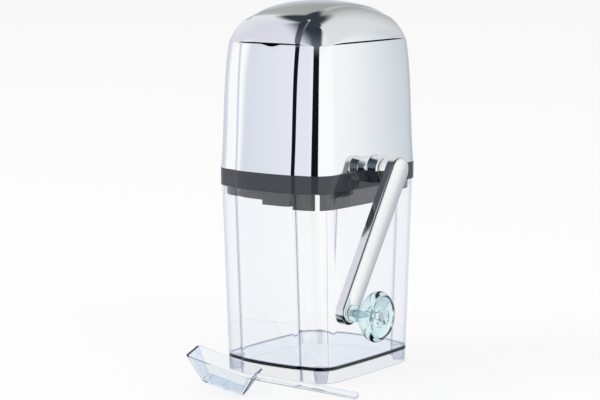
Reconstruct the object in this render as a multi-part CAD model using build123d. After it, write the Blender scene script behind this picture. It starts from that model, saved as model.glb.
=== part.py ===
"""Hand cranked ice crusher: clear bin, dark base frame, chrome housing with a hinged lid,
a toothed rotor on a cranked shaft, and a clear scoop.

Millimetres. Origin: centre of the base, on the plane that the bin stands on.
+Z is up, the front (the narrow face with the centre panel) is -Y, the crank is on +X.
"""
from build123d import *
import math
import os

os.makedirs("parts", exist_ok=True)

# ------------------------------------------------------------------ driving dimensions
# heights
FLOOR_UNDERSIDE_Z = 8.9
FLOOR_TOP_Z = 11.1
BIN_TOP_Z = 130.9
RING_BOTTOM_Z = 131.1
SHAFT_Z = 142.7                 # ring top, housing bottom and crank axis
HOUSING_TOP_Z = 229.6
LID_BOTTOM_Z = 230.4
LID_TOP_Z = 255.6               # crown beside the raised panel

# plan outline: rounded rectangle with bowed sides, half sizes at the middle of each face
CORNER_R = 14.7
BOW_X = 1.1                     # side faces
BOW_Y = 3.1                     # front and back faces
FOOT_HALF = (46.5, 56.5)
BIN_TOP_HALF = (46.9, 63.1)
RING_HALF = (47.6, 63.8)
HOUSING_LEVELS = ((SHAFT_Z, 47.6, 63.8), (188.0, 46.0, 61.6), (214.0, 44.9, 60.1),
                  (HOUSING_TOP_Z, 43.5, 58.2))
LID_HALF = (43.5, 58.2)

# raised centre panel that runs up the front, over the lid and down the back: its soft
# shoulders meet the face beside it in a crease about 26 from the middle
PANEL_HALF = 28.0
PANEL_RAISE = 1.3
SHOULDER_R = 7.0

# walls
BIN_WALL = 2.0
SKIRT_WALL = 1.5
SHELL_WALL = 2.5
RING_BAND = 5.3
PLATE = 2.5                     # frame deck and chamber walls

# lid crown
CROWN_R_X = 123.0
CROWN_R_Y = 151.0
CROWN_EDGE_R = 13.0
LID_DRAFT = 0.2
CROWN_DEEP = 30.0               # depth of the turned crown under its top
CROWN_SWEEP_DEG = 60.0
LID_CUT_Z = 262.0               # the side walls run up to here before the crown trims them
LID_RIM_Z = 234.4               # the edges above this are the crown's own
THUMB_X = 4.0
THUMB_WIDTH = 13.0
THUMB_DEPTH = 1.6
THUMB_REACH = 1.7               # how far it is cut back from the panel's face

# corner posts under the bin's floor
POST_X = 36.5
POST_Y = 46.5
POST_R_TOP = 5.3
POST_R_FOOT = 4.0

# frame lip inside the bin: shallow, with deep keying lugs round two opposite corners
LIP_HALF = (44.2, 59.9)
LIP_WALL = 2.0
LIP_Z = 124.4
LIP_PANEL_Z = 121.1
LIP_DEEP_Z = 119.0
LIP_PANEL_HALF = 23.1
LUG_START_X = -1.7
LUG_NOTCH = (19.6, 21.0)
LUG_END_Y = 20.0

# crushing chamber and hopper
CHAMBER_HALF_X = 34.0
CHAMBER_HALF_Y = 28.0
CHAMBER_BOTTOM_Z = 126.0
CHAMBER_TOP_Z = 166.0
CHAMBER_CORNER_R = 4.0
HOPPER_TOP_Z = 227.0
HOPPER_TOP_HALF = (40.4, 55.0)
HOPPER_TOP_R = 11.7
HOPPER_WALL = 2.0

# shaft, bushes and the boss that carries them
RUNNING = 0.05                  # radial clearance of a shaft in its bush
BOSS_R = 9.5
BOSS_IN_X = 44.0
BOSS_END_X = 55.7
BOSS_EDGE = 0.6                 # chamfer on the boss's end rim
FLARE_R = 1.5                   # concave radius at the boss's foot
FLARE_END_X = 48.5
CRANK_BUSH = (34.2, 55.5)
CRANK_BUSH_R = 7.5
CRANK_JOURNAL_R = 6.0
END_BUSH = (-41.5, -33.4)
END_BUSH_R = 6.5
END_BOSS_R = 8.5
END_JOURNAL_R = 4.0
CRANK_SADDLE_X = 43.5
SQUARE = 8.0
SPIGOT_R = 4.5
SPIGOT_START_X = 55.2
SPIGOT_END_X = 67.5
SHAFT_END_X = -44.4
CLIP = (-43.2, -42.2)
CLIP_GROOVE_R = 3.0
CLIP_MOUTH = 0.8                # width of the clip's mouth as a share of the groove's
CLIP_R = 5.5
CLIP_FREE = 0.8                 # play round the clip in the frame
WASHER_R = 6.8
WASHER = (55.8, 56.2)

# rotor
BLADE_COUNT = 5
BLADE_PITCH = 12.0
BLADE_THICK = 2.5
BLADE_STEP_DEG = 36.0
BLADE_ARM = ((-7.0, 0.0), (-7.0, 11.0), (-5.2, 17.6), (-2.0, 13.5), (1.0, 18.8), (3.5, 13.0),
             (7.0, 10.0), (7.0, 0.0))
SPACER_R = 7.0
STACK_HALF = 33.0

# fixed combs, one each side of the rotor
COMB_TOP_Z = 137.25
COMB_THICK = 2.5
COMB_FREE = 0.2                 # play at each end and round the screws' heads
COMB_TIP_Y = 6.0
COMB_POINT_Y = 9.0
COMB_ROOT_Y = 20.0
COMB_BACK_Y = 27.8
COARSE_TOOTH = 5.0
FINE_TOOTH = 7.5
LEDGE_INNER_Y = 21.5
LEDGE_BOTTOM_Z = 128.0

# lid hinge
HINGE_Y = 62.7
HINGE_Z = 230.0
HINGE_R = 3.0
PIN_R = 1.5
PIN_FREE = 0.01                 # the pin is a drive fit in the housing's knuckles
KNUCKLE_SPLIT_X = 6.0
KNUCKLE_GAP = 0.25
KNUCKLE_END_X = 16.0
KNUCKLE_ROOT_Y = 57.2

# crank
ARM_LENGTH = 106.0
ARM_LEAN_DEG = 33.5             # from straight down towards the front
ARM_IN_X = 63.0
ARM_OUT_X = 70.5
ARM_R_HUB = 9.6
ARM_R_KNOB = 8.4
ARM_CROWN_R = 42.0
ARM_EDGE_R = 2.0
HUB_R = 8.0
HUB_START_X = 56.3
HUB_EDGE = 0.4
BLIND_FREE = 0.3                # play past a shaft's or pin's end in a blind bore
GRUB_X = 60.0
GRUB_R = 2.0
GRUB_SPAN = (4.6, 7.8)          # from the shaft's axis
GRUB_SOCKET_R = 1.1
GRUB_SOCKET_DEPTH = 1.5

# knob
KNOB_BACK_X = 71.3
KNOB_RIM_X = 94.7               # front of the dished disc's rim
KNOB_RING_X = 96.0              # front of the ring round the pin
KNOB_PIN_R = 2.2
KNOB_PIN_HEAD_R = 3.3
KNOB_PIN_IN_X = 64.2
KNOB_PIN_SEAT_X = 93.0
KNOB_PIN_END_X = 94.7
PIN_HEAD_EDGE = 0.8
KNOB_FREE = 0.1                 # play along and round the pin
KNOB_WASHER_R = 4.8

# scoop, lying in front of the bin on its back edge and the end of its handle
SCOOP_LENGTH = 47.4
SCOOP_WIDTH = 34.4
SCOOP_DEPTH = 14.7
SCOOP_FRONT_RUN = 14.4          # horizontal run of each sloping wall
SCOOP_BACK_RUN = 4.0
SCOOP_SIDE_RUN = 6.7
SCOOP_WALL = 1.5
SCOOP_CORNER_R = 3.0
SCOOP_HANDLE = 68.1
SCOOP_HANDLE_R = 2.4
SCOOP_HANDLE_Z = 12.6
SCOOP_HANDLE_UP_DEG = 9.7
SCOOP_YAW_DEG = 25.1
SCOOP_TILT_DEG = 17.7
SCOOP_AT = (14.6, -101.5)

# screws
SCREW_R = 1.6
SCREW_HEAD_R = 3.2
SCREW_HEAD = 2.2
SCREW_LENGTH = 14.0
SCREW_POST_R = 4.0
SCREW_WEB = (12.0, 2.4)         # rib from a post out to the wall: length and thickness
SCREW_FREE = 0.4                # play round a head or past an end
HOUSING_SCREW = (35.7, 50.4)
HOPPER_SCREW = (24.0, 36.0)
LUG_WEB = 3.0
COMB_SCREW = (18.0, 24.5)
COMB_SHANK_R = 1.45
COMB_HEAD_R = 2.8
COMB_SCREW_END_Z = 129.2
SLOT_WIDTH = 0.9
SLOT_DEPTH = 0.7

FAR = 400.0                     # larger than the object, for cutting blocks
PAST = 1.0                      # how far a cutter runs past the face that it opens


# ------------------------------------------------------------------ helpers
def outline(half_x, half_y, corner_r):
    """Rounded rectangle with bowed sides, as a sketch at z = 0."""
    chord_x = half_x - BOW_X - corner_r
    chord_y = half_y - BOW_Y - corner_r
    front_r = (chord_x ** 2 + BOW_Y ** 2) / (2 * BOW_Y)
    side_r = (chord_y ** 2 + BOW_X ** 2) / (2 * BOW_X)
    shape = Pos(0, half_y - front_r) * Circle(front_r)
    shape = shape & (Pos(0, front_r - half_y) * Circle(front_r))
    shape = shape & (Pos(half_x - side_r, 0) * Circle(side_r))
    shape = shape & (Pos(side_r - half_x, 0) * Circle(side_r))
    return fillet(shape.vertices(), corner_r)


def tower(levels, inset=0.0, raise_y=0.0):
    """Loft through the plan outline at each (z, half_x, half_y) level."""
    faces = []
    for z, half_x, half_y in levels:
        sketch = outline(half_x - inset, half_y - inset + raise_y, CORNER_R - inset)
        faces.append(Pos(0, 0, z) * sketch.faces()[0])
    return loft(faces, ruled=len(levels) == 2)


def block(x_low, x_high, y_low, y_high, z_low, z_high):
    """Box between two corners."""
    centre = Pos((x_low + x_high) / 2, (y_low + y_high) / 2, (z_low + z_high) / 2)
    return centre * Box(x_high - x_low, y_high - y_low, z_high - z_low)


def soft_middle(raised, half, shoulder_r, z_low, z_high):
    """Middle of a raised solid out to x = +-half, its long edges rounded."""
    middle = raised & block(-half, half, -FAR, FAR, z_low, z_high)
    sides = middle.edges().filter_by(lambda e: abs(abs(e.center().X) - half) < 0.01)
    shoulders = sides.filter_by(lambda e: e.bounding_box().max.Z > z_low + 0.01)
    shoulders = shoulders.filter_by(lambda e: e.bounding_box().min.Z < z_high - 0.01)
    return fillet(shoulders, shoulder_r)


def stepped(levels, inset=0.0, panel_half=PANEL_HALF):
    """Tower whose centre panel stands proud of the front and the back on soft shoulders."""
    raised = tower(levels, inset, PANEL_RAISE)
    middle = soft_middle(raised, panel_half - inset, SHOULDER_R - inset, levels[0][0], levels[-1][0])
    return tower(levels, inset) + middle


def cyl_x(radius, x_low, x_high, y=0.0, z=SHAFT_Z):
    """Cylinder along X between two stations."""
    return Pos((x_low + x_high) / 2, y, z) * Rot(0, 90, 0) * Cylinder(radius, x_high - x_low)


def cyl_z(radius, z_low, z_high, x=0.0, y=0.0):
    """Upright cylinder between two heights."""
    return Pos(x, y, (z_low + z_high) / 2) * Cylinder(radius, z_high - z_low)


def turned(*edges):
    """Solid of revolution about the X axis from edges in (x, radius)."""
    return revolve(make_face(Wire(edges)), Axis.X, 360)


def turned_x(*points):
    """Solid of revolution about the X axis from straight runs between (x, radius) points."""
    return revolve(make_face(Polyline(*points, close=True)), Axis.X, 360)


def four(place):
    """The four mirrored places of a point in plan."""
    return [(sx * place[0], sy * place[1]) for sx in (-1, 1) for sy in (-1, 1)]


def bin_half(z):
    """Level of the bin's outer plan at height z."""
    share = z / BIN_TOP_Z
    half_x, half_y = (foot + share * (top - foot) for foot, top in zip(FOOT_HALF, BIN_TOP_HALF))
    return (z, half_x, half_y)


def save(shape, node):
    """Write one sub-part."""
    export_step(shape, f"parts/{node}.step")


# ------------------------------------------------------------------ bin
def make_bin():
    """Clear bin: tapered box on a low skirt, with four posts under its floor."""
    inside = (bin_half(FLOOR_TOP_Z), bin_half(BIN_TOP_Z))
    under = (bin_half(0.0), bin_half(FLOOR_UNDERSIDE_Z))
    body = stepped((bin_half(0.0), bin_half(BIN_TOP_Z)))
    body = body - stepped(inside, BIN_WALL)
    body = body - stepped(under, SKIRT_WALL)
    post_height = FLOOR_UNDERSIDE_Z + PAST
    for x, y in four((POST_X, POST_Y)):
        body = body + Pos(x, y, post_height / 2) * Cone(POST_R_FOOT, POST_R_TOP, post_height)
    return body


# ------------------------------------------------------------------ base frame
def make_lip():
    """Lip that locates the frame in the bin, deep only round two opposite corners."""
    levels = ((LIP_DEEP_Z, *LIP_HALF), (RING_BOTTOM_Z + PAST, *LIP_HALF))
    lip = stepped(levels, 0.0, LIP_PANEL_HALF) - tower(levels, LIP_WALL)
    for turn in (0, 180):
        shallow = block(-FAR, LUG_START_X, -FAR, -LUG_END_Y, LIP_DEEP_Z, LIP_Z)
        panel = block(LUG_START_X, LUG_NOTCH[0], -FAR, -LUG_END_Y, LIP_DEEP_Z, LIP_PANEL_Z)
        notch = block(*LUG_NOTCH, -FAR, -LUG_END_Y, LIP_DEEP_Z, LIP_Z)
        for cut in (shallow, panel, notch):
            lip = lip - Rot(0, 0, turn) * cut
    return lip


def make_base_frame():
    """Dark frame: outer band, deck, lower half of the chamber, bearing saddles, lip."""
    ring = ((RING_BOTTOM_Z, *RING_HALF), (SHAFT_Z, *RING_HALF))
    deck = ((SHAFT_Z - PLATE, *RING_HALF), (SHAFT_Z, *RING_HALF))
    body = stepped(ring) - tower(ring, RING_BAND)
    body = body + tower(deck, RING_BAND - 1.0) + make_lip()
    wall_x = CHAMBER_HALF_X + PLATE
    wall_y = CHAMBER_HALF_Y + PLATE
    body = body + block(-wall_x, wall_x, -wall_y, wall_y, CHAMBER_BOTTOM_Z, SHAFT_Z)
    saddles = cyl_x(BOSS_R, CHAMBER_HALF_X, BOSS_END_X)
    saddles = saddles + cyl_x(END_BOSS_R, END_BUSH[0], -CHAMBER_HALF_X)
    body = body + (saddles & block(-FAR, FAR, -FAR, FAR, 0, SHAFT_Z))
    body = body - block(-CHAMBER_HALF_X, CHAMBER_HALF_X, -CHAMBER_HALF_Y, CHAMBER_HALF_Y,
                        CHAMBER_BOTTOM_Z - PAST, SHAFT_Z + PAST)
    for side in (-1, 1):
        low_y, high_y = sorted((side * CHAMBER_HALF_Y, side * LEDGE_INNER_Y))
        body = body + block(-CHAMBER_HALF_X, CHAMBER_HALF_X, low_y, high_y,
                            LEDGE_BOTTOM_Z, COMB_TOP_Z - COMB_THICK)
    for x, y in four(COMB_SCREW):
        body = body - cyl_z(COMB_SHANK_R + RUNNING, COMB_SCREW_END_Z - SCREW_FREE, COMB_TOP_Z, x, y)
    body = body - cyl_x(CRANK_BUSH_R + RUNNING, CHAMBER_HALF_X - PAST, BOSS_END_X + PAST)
    body = body - cyl_x(END_BUSH_R + RUNNING, END_BUSH[0] - PAST, PAST - CHAMBER_HALF_X)
    body = body - cyl_x(CLIP_R + CLIP_FREE, SHAFT_END_X - SCREW_FREE, END_BUSH[0])
    for x, y in four(HOUSING_SCREW) + four(HOPPER_SCREW):
        body = body - cyl_z(SCREW_R + SCREW_FREE, SHAFT_Z - PLATE - PAST, SHAFT_Z + PAST, x, y)
        body = body - cyl_z(SCREW_HEAD_R + SCREW_FREE, LIP_DEEP_Z, SHAFT_Z - PLATE, x, y)
    return body


# ------------------------------------------------------------------ housing and lid
def knuckle(x_low, x_high, z_low, z_high, bore_r):
    """One barrel of the rear hinge on its root block, with the pin's bore cut through."""
    barrel = cyl_x(HINGE_R, x_low, x_high, HINGE_Y, HINGE_Z)
    root = block(x_low, x_high, KNUCKLE_ROOT_Y, HINGE_Y, z_low, z_high)
    return (barrel + root) - cyl_x(bore_r, x_low - PAST, x_high + PAST, HINGE_Y, HINGE_Z)


def make_half_boss():
    """Upper half of the crank boss, flared softly into the side wall."""
    foot = (FLARE_END_X - FLARE_R, BOSS_R + FLARE_R)
    middle = (FLARE_END_X - FLARE_R * math.sqrt(0.5), BOSS_R + FLARE_R * (1 - math.sqrt(0.5)))
    boss = turned(
        Line((BOSS_IN_X, 0), (BOSS_IN_X, foot[1])),
        Line((BOSS_IN_X, foot[1]), foot),
        ThreePointArc(foot, middle, (FLARE_END_X, BOSS_R)),
        Line((FLARE_END_X, BOSS_R), (BOSS_END_X - BOSS_EDGE, BOSS_R)),
        Line((BOSS_END_X - BOSS_EDGE, BOSS_R), (BOSS_END_X, BOSS_R - BOSS_EDGE)),
        Line((BOSS_END_X, BOSS_R - BOSS_EDGE), (BOSS_END_X, 0)),
        Line((BOSS_END_X, 0), (BOSS_IN_X, 0)),
    )
    return (Pos(0, 0, SHAFT_Z) * boss) & block(0, FAR, -FAR, FAR, SHAFT_Z, FAR)


def make_housing():
    """Chrome housing: drafted shell, half boss, four screw posts, two hinge knuckles."""
    outside = stepped(HOUSING_LEVELS)
    body = outside - tower(HOUSING_LEVELS, SHELL_WALL)
    post_top = SHAFT_Z + SCREW_LENGTH + 2 * PAST
    for x, y in four(HOUSING_SCREW):
        turn = math.degrees(math.atan2(y, x))
        post = cyl_z(SCREW_POST_R, SHAFT_Z, post_top, x, y)
        web = Pos(x, y, (SHAFT_Z + post_top) / 2) * Rot(0, 0, turn) * Pos(SCREW_WEB[0] / 2, 0, 0)
        post = post + web * Box(*SCREW_WEB, post_top - SHAFT_Z)
        body = body + (post & outside)
        body = body - cyl_z(SCREW_R + RUNNING, SHAFT_Z - PAST, post_top - PAST, x, y)
    body = body + make_half_boss()
    body = body - cyl_x(CRANK_BUSH_R + RUNNING, CRANK_SADDLE_X - PAST, BOSS_END_X + PAST)
    for low, high in ((-KNUCKLE_END_X, -KNUCKLE_SPLIT_X), (KNUCKLE_SPLIT_X, KNUCKLE_END_X)):
        body = body + knuckle(low, high, HINGE_Z - HINGE_R, HOUSING_TOP_Z, PIN_R + PIN_FREE)
    thumb_r = (THUMB_WIDTH ** 2 / 4 + THUMB_DEPTH ** 2) / (2 * THUMB_DEPTH)
    front_y = -(LID_HALF[1] + PANEL_RAISE)
    relief = Pos(THUMB_X, front_y, HOUSING_TOP_Z + thumb_r - THUMB_DEPTH)
    body = body - relief * Rot(90, 0, 0) * Cylinder(thumb_r, 2 * THUMB_REACH)
    return body


def lid_dome(inset, raise_y=0.0):
    """Solid under the lid's skin: drafted walls under a double curved crown, edge rounded."""
    shrink = LID_DRAFT * (LID_CUT_Z - LID_BOTTOM_Z)
    half_x = LID_HALF[0] - inset
    half_y = LID_HALF[1] - inset
    top = LID_TOP_Z - inset + raise_y
    walls = tower(((LID_BOTTOM_Z, half_x, half_y + raise_y),
                   (LID_CUT_Z, half_x - shrink, half_y - shrink + raise_y)))
    slab = Pos(0, top - CROWN_DEEP / 2) * Rectangle(3 * LID_HALF[1], 2 * CROWN_DEEP)
    under_arc = (Pos(0, top - CROWN_R_Y) * Circle(CROWN_R_Y)) & slab
    axis = Axis((0, 0, top - CROWN_R_X), (0, 1, 0))
    crown = revolve(Plane.YZ * under_arc, axis, CROWN_SWEEP_DEG).rotate(axis, -CROWN_SWEEP_DEG / 2)
    dome = walls & crown
    rim = [e for e in dome.edges() if e.center().Z > LID_RIM_Z and abs(e.tangent_at(0.5).Z) < 0.6]
    return fillet(rim, CROWN_EDGE_R - inset)


def make_lid():
    """Chrome lid: domed shell with the raised panel and the middle hinge knuckle."""
    raised = lid_dome(0.0, PANEL_RAISE)
    body = lid_dome(0.0) + soft_middle(raised, PANEL_HALF, SHOULDER_R, LID_BOTTOM_Z, FAR)
    body = body - lid_dome(SHELL_WALL)
    reach = KNUCKLE_SPLIT_X - KNUCKLE_GAP
    return body + knuckle(-reach, reach, LID_BOTTOM_Z, HINGE_Z + HINGE_R, PIN_R + RUNNING)


def make_hinge_pin():
    """Steel pin through the three knuckles."""
    return cyl_x(PIN_R, -KNUCKLE_END_X, KNUCKLE_END_X, HINGE_Y, HINGE_Z)


# ------------------------------------------------------------------ hopper
def funnel(grow, inset):
    """Funnel from the chamber's rectangle, grown, up to the housing's plan outline, inset."""
    low = RectangleRounded(2 * (CHAMBER_HALF_X + grow), 2 * (CHAMBER_HALF_Y + grow), CHAMBER_CORNER_R)
    high = outline(HOPPER_TOP_HALF[0] - inset, HOPPER_TOP_HALF[1] - inset, HOPPER_TOP_R - inset)
    faces = [Pos(0, 0, CHAMBER_TOP_Z) * low.faces()[0], Pos(0, 0, HOPPER_TOP_Z) * high.faces()[0]]
    return loft(faces, ruled=True)


def make_hopper():
    """Hopper: funnel over the upper half of the chamber, with bearing caps and screw lugs."""
    wall_x = CHAMBER_HALF_X + PLATE
    wall_y = CHAMBER_HALF_Y + PLATE
    body = block(-wall_x, wall_x, -wall_y, wall_y, SHAFT_Z, CHAMBER_TOP_Z) + funnel(PLATE, 0.0)
    caps = cyl_x(BOSS_R, CHAMBER_HALF_X, CRANK_SADDLE_X)
    caps = caps + cyl_x(END_BOSS_R, END_BUSH[0], -CHAMBER_HALF_X)
    body = body + (caps & block(-FAR, FAR, -FAR, FAR, SHAFT_Z, FAR))
    lug_top = SHAFT_Z + SCREW_LENGTH + PAST
    for x, y in four(HOPPER_SCREW):
        body = body + cyl_z(SCREW_POST_R, SHAFT_Z, lug_top, x, y)
        low_y, high_y = sorted((y, math.copysign(wall_y - PAST, y)))
        body = body + block(x - LUG_WEB / 2, x + LUG_WEB / 2, low_y, high_y, SHAFT_Z, lug_top)
    body = body - block(-CHAMBER_HALF_X, CHAMBER_HALF_X, -CHAMBER_HALF_Y, CHAMBER_HALF_Y,
                        SHAFT_Z - PAST, CHAMBER_TOP_Z)
    body = body - funnel(0.0, HOPPER_WALL)
    body = body - cyl_x(CRANK_BUSH_R + RUNNING, CHAMBER_HALF_X - PAST, CRANK_SADDLE_X + PAST)
    body = body - cyl_x(END_BUSH_R + RUNNING, END_BUSH[0] - PAST, PAST - CHAMBER_HALF_X)
    for x, y in four(HOPPER_SCREW):
        body = body - cyl_z(SCREW_R + RUNNING, SHAFT_Z - PAST, lug_top - PAST, x, y)
    return body


# ------------------------------------------------------------------ combs
def make_comb(side, tooth):
    """Fixed comb on one side (-1 front, 1 back): back bar with pointed teeth."""
    bottom = COMB_TOP_Z - COMB_THICK
    half_x = CHAMBER_HALF_X - COMB_FREE
    points = [(-half_x, COMB_BACK_Y), (-half_x, COMB_ROOT_Y)]
    for index in range(BLADE_COUNT + 1):
        x = (index - BLADE_COUNT / 2) * BLADE_PITCH
        points += [(x - tooth / 2, COMB_ROOT_Y), (x - tooth / 2, COMB_POINT_Y), (x, COMB_TIP_Y),
                   (x + tooth / 2, COMB_POINT_Y), (x + tooth / 2, COMB_ROOT_Y)]
    points += [(half_x, COMB_ROOT_Y), (half_x, COMB_BACK_Y)]
    face = make_face(Polyline(*[(x, side * y) for x, y in points], close=True))
    comb = Pos(0, 0, bottom) * extrude(face, COMB_THICK, dir=(0, 0, 1))
    for x in (-COMB_SCREW[0], COMB_SCREW[0]):
        y = side * COMB_SCREW[1]
        sink = COMB_HEAD_R - COMB_SHANK_R
        comb = comb - cyl_z(COMB_SHANK_R + COMB_FREE, bottom - PAST, COMB_TOP_Z + PAST, x, y)
        cone = Cone(COMB_SHANK_R + COMB_FREE, COMB_HEAD_R + COMB_FREE, sink)
        comb = comb - Pos(x, y, COMB_TOP_Z - sink / 2) * cone
    return comb


def make_comb_screws():
    """Four countersunk screws that hold the combs on the frame's ledges."""
    sink = COMB_HEAD_R - COMB_SHANK_R
    screws = []
    for x, y in four(COMB_SCREW):
        head = Pos(x, y, COMB_TOP_Z - sink / 2) * Cone(COMB_SHANK_R, COMB_HEAD_R, sink)
        shank = cyl_z(COMB_SHANK_R, COMB_SCREW_END_Z, COMB_TOP_Z - sink, x, y)
        slot = Pos(x, y, COMB_TOP_Z) * Box(2 * COMB_HEAD_R, SLOT_WIDTH, 2 * SLOT_DEPTH)
        screws.append(head + shank - slot)
    return Compound(children=screws)


def make_frame_screws():
    """Eight pan head screws up through the deck into the housing's and hopper's posts."""
    screws = []
    seat = SHAFT_Z - PLATE
    for x, y in four(HOUSING_SCREW) + four(HOPPER_SCREW):
        head = cyl_z(SCREW_HEAD_R, seat - SCREW_HEAD, seat, x, y)
        shank = cyl_z(SCREW_R, seat, seat + SCREW_LENGTH, x, y)
        slot = Pos(x, y, seat - SCREW_HEAD) * Box(2 * SCREW_HEAD_R, SLOT_WIDTH, 2 * SLOT_DEPTH)
        screws.append(head + shank - slot)
    return Compound(children=screws)


# ------------------------------------------------------------------ shaft and rotor
def make_bush(span, outer_r, journal_r):
    """Plain bush for one journal of the shaft."""
    outside = cyl_x(outer_r, *span)
    return outside - cyl_x(journal_r + RUNNING, span[0] - PAST, span[1] + PAST)


def make_drive_shaft():
    """Steel shaft: end journal with a clip groove, square middle, crank journal, spigot."""
    shaft = block(-STACK_HALF, STACK_HALF, -SQUARE / 2, SQUARE / 2,
                  SHAFT_Z - SQUARE / 2, SHAFT_Z + SQUARE / 2)
    shaft = shaft + cyl_x(CRANK_JOURNAL_R, STACK_HALF, SPIGOT_START_X)
    shaft = shaft + cyl_x(SPIGOT_R, SPIGOT_START_X, SPIGOT_END_X)
    shaft = shaft + cyl_x(END_JOURNAL_R, SHAFT_END_X, -STACK_HALF)
    groove = cyl_x(END_JOURNAL_R + PAST, *CLIP) - cyl_x(CLIP_GROOVE_R, *CLIP)
    return shaft - groove


def square_bore(x_low, x_high):
    """Space that the square of the shaft takes in a rotor piece."""
    half = SQUARE / 2 + RUNNING
    return block(x_low, x_high, -half, half, SHAFT_Z - half, SHAFT_Z + half)


def make_blade(index):
    """Double ended tooth plate, turned on from its neighbour by one step."""
    x = (index - (BLADE_COUNT - 1) / 2) * BLADE_PITCH
    points = list(BLADE_ARM[:-1]) + [(-u, -v) for u, v in BLADE_ARM[:-1]]
    plate = extrude(Plane.YZ * make_face(Polyline(*points, close=True)), BLADE_THICK)
    plate = Pos(x - BLADE_THICK / 2, 0, SHAFT_Z) * Rot(index * BLADE_STEP_DEG, 0, 0) * plate
    return plate - square_bore(x - BLADE_THICK, x + BLADE_THICK)


def make_spacer(index):
    """Sleeve that fills the shaft between two blades, or between a blade and an end."""
    first = (index - (BLADE_COUNT + 1) / 2) * BLADE_PITCH + BLADE_THICK / 2
    low = max(first, -STACK_HALF)
    high = min(first + BLADE_PITCH - BLADE_THICK, STACK_HALF)
    return cyl_x(SPACER_R, low, high) - square_bore(low - PAST, high + PAST)


def make_end_clip():
    """Retaining clip in the groove at the shaft's far end, open downwards."""
    ring = cyl_x(CLIP_R, *CLIP) - cyl_x(CLIP_GROOVE_R + RUNNING, CLIP[0] - PAST, CLIP[1] + PAST)
    gap = CLIP_GROOVE_R * CLIP_MOUTH
    mouth = block(CLIP[0] - PAST, CLIP[1] + PAST, -gap, gap, SHAFT_Z - CLIP_R - PAST, SHAFT_Z)
    return ring - mouth


# ------------------------------------------------------------------ crank, built hanging down
CRANK_PLACE = Pos(0, 0, SHAFT_Z) * Rot(-ARM_LEAN_DEG, 0, 0)
KNOB_PLACE = CRANK_PLACE * Pos(0, 0, -ARM_LENGTH)


def make_crank_arm():
    """Crank arm: round hub, tapered blade with a crowned outer face and rounded rim."""
    ends = (Circle(ARM_R_HUB).edge(), (Pos(0, -ARM_LENGTH) * Circle(ARM_R_KNOB)).edge())
    arm = extrude(Plane.YZ * make_hull(ends), ARM_OUT_X - ARM_IN_X)
    arm = Pos(ARM_IN_X, 0, 0) * arm
    crown = Pos(ARM_OUT_X - ARM_CROWN_R, 0, -ARM_LENGTH / 2) * Cylinder(ARM_CROWN_R, 2 * ARM_LENGTH)
    arm = arm & crown
    rim = [e for e in arm.edges() if e.center().X > (ARM_IN_X + ARM_OUT_X) / 2 - ARM_EDGE_R / 2]
    arm = fillet(rim, ARM_EDGE_R)
    arm = arm + turned_x((HUB_START_X, 0), (HUB_START_X, HUB_R - HUB_EDGE),
                         (HUB_START_X + HUB_EDGE, HUB_R), (ARM_IN_X + HUB_EDGE, ARM_R_HUB),
                         (ARM_IN_X + HUB_EDGE, 0))
    arm = arm - cyl_x(SPIGOT_R + RUNNING, HUB_START_X - PAST, SPIGOT_END_X + BLIND_FREE, z=0)
    arm = arm - cyl_x(KNOB_PIN_R + RUNNING, KNOB_PIN_IN_X - BLIND_FREE, ARM_OUT_X + PAST,
                      z=-ARM_LENGTH)
    arm = arm - cyl_z(GRUB_R + RUNNING, SPIGOT_R - PAST, ARM_R_HUB + PAST, GRUB_X)
    return CRANK_PLACE * arm


def make_grub_screw():
    """Grub screw that clamps the hub on the shaft's spigot."""
    screw = cyl_z(GRUB_R, *GRUB_SPAN, GRUB_X)
    socket = extrude(RegularPolygon(GRUB_SOCKET_R, 6), GRUB_SOCKET_DEPTH + PAST)
    socket = Pos(GRUB_X, 0, GRUB_SPAN[1] - GRUB_SOCKET_DEPTH) * socket
    return CRANK_PLACE * (screw - socket)


def make_knob_pin():
    """Shouldered pin, fixed in the arm, on which the knob turns."""
    under_head = KNOB_PIN_SEAT_X + KNOB_FREE
    shoulder = KNOB_PIN_END_X - PIN_HEAD_EDGE
    pin = turned_x((KNOB_PIN_IN_X, 0), (KNOB_PIN_IN_X, KNOB_PIN_R), (under_head, KNOB_PIN_R),
                   (under_head, KNOB_PIN_HEAD_R), (shoulder, KNOB_PIN_HEAD_R),
                   (KNOB_PIN_END_X, KNOB_PIN_HEAD_R - PIN_HEAD_EDGE), (KNOB_PIN_END_X, 0))
    return KNOB_PLACE * pin


def make_knob():
    """Clear trumpet shaped knob with a dished front and a raised ring round its pin."""
    bore = KNOB_PIN_R + KNOB_FREE
    flare_start = (75.8, 4.2)
    rim_start = (88.4, 16.2)
    rim_end = (KNOB_RIM_X, 14.9)
    dish_foot = (92.7, 7.2)
    knob = turned(
        Line((KNOB_BACK_X, bore), (KNOB_BACK_X, 5.1)),
        Line((KNOB_BACK_X, 5.1), (71.8, 5.6)),
        Line((71.8, 5.6), (74.0, 5.6)),
        Spline((74.0, 5.6), flare_start, tangents=((1, -0.2), (1, 0))),
        Spline(flare_start, (79.6, 6.8), (83.8, 12.2), rim_start, tangents=((1, 0), (1, 0.6))),
        ThreePointArc(rim_start, (92.2, 16.8), rim_end),
        Line(rim_end, (KNOB_RIM_X, 14.2)),
        Spline((KNOB_RIM_X, 14.2), (93.3, 12.4), dish_foot, tangents=((-1, -0.4), (0, -1))),
        Line(dish_foot, (KNOB_RING_X, 6.4)),
        Line((KNOB_RING_X, 6.4), (KNOB_RING_X, 5.2)),
        Line((KNOB_RING_X, 5.2), (KNOB_PIN_SEAT_X, 4.2)),
        Line((KNOB_PIN_SEAT_X, 4.2), (KNOB_PIN_SEAT_X, bore)),
        Line((KNOB_PIN_SEAT_X, bore), (KNOB_BACK_X, bore)),
    )
    return KNOB_PLACE * knob


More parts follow.
